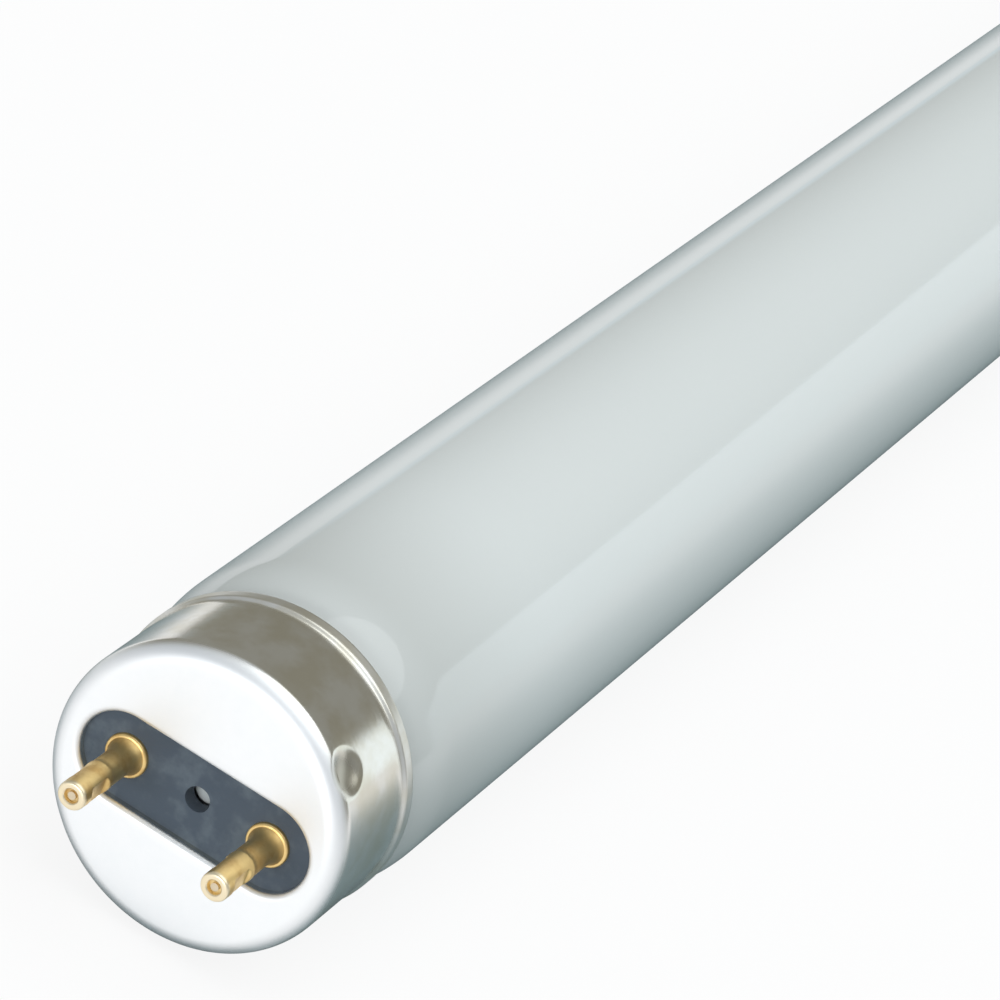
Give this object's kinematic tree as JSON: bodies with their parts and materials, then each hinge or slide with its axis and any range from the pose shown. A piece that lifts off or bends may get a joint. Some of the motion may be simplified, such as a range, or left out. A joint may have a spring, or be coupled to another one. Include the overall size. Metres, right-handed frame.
{
  "type": "fluorescent tube",
  "caption": "Straight fluorescent lamp: a white coated glass tube with drawn aluminium two-pin caps, crimped hollow brass pins and a dark insulating plate in each cap's window.",
  "frame": {"origin": "middle of the lamp on its axis, which is the centre of its bounding box", "axes": "+X along the lamp's axis from the pictured end to the far end, +Y along the pin line, +Z square to both, upwards"},
  "size_m": [0.6046, 0.026, 0.026],
  "materials": {
    "coated_glass": "clear gloss glass over a white inner coating",
    "cap_aluminium": "drawn, bright side and satin face",
    "insulator": "dark blue-grey moulded",
    "pin_brass": "bright, drawn",
    "lead_wire": "plated wire, cut end",
    "cement": "matt, baked"
  },
  "bodies": {
    "root": {"glass_tube": "coated_glass", "front_cap_shell": "cap_aluminium", "front_insulator_plate": "insulator", "front_cap_cement": "cement", "front_pin_left": "pin_brass", "front_lead_left": "lead_wire", "front_pin_right": "pin_brass", "front_lead_right": "lead_wire", "rear_cap_shell": "cap_aluminium", "rear_insulator_plate": "insulator", "rear_cap_cement": "cement", "rear_pin_left": "pin_brass", "rear_lead_left": "lead_wire", "rear_pin_right": "pin_brass", "rear_lead_right": "lead_wire"}
  },
  "joints": []
}
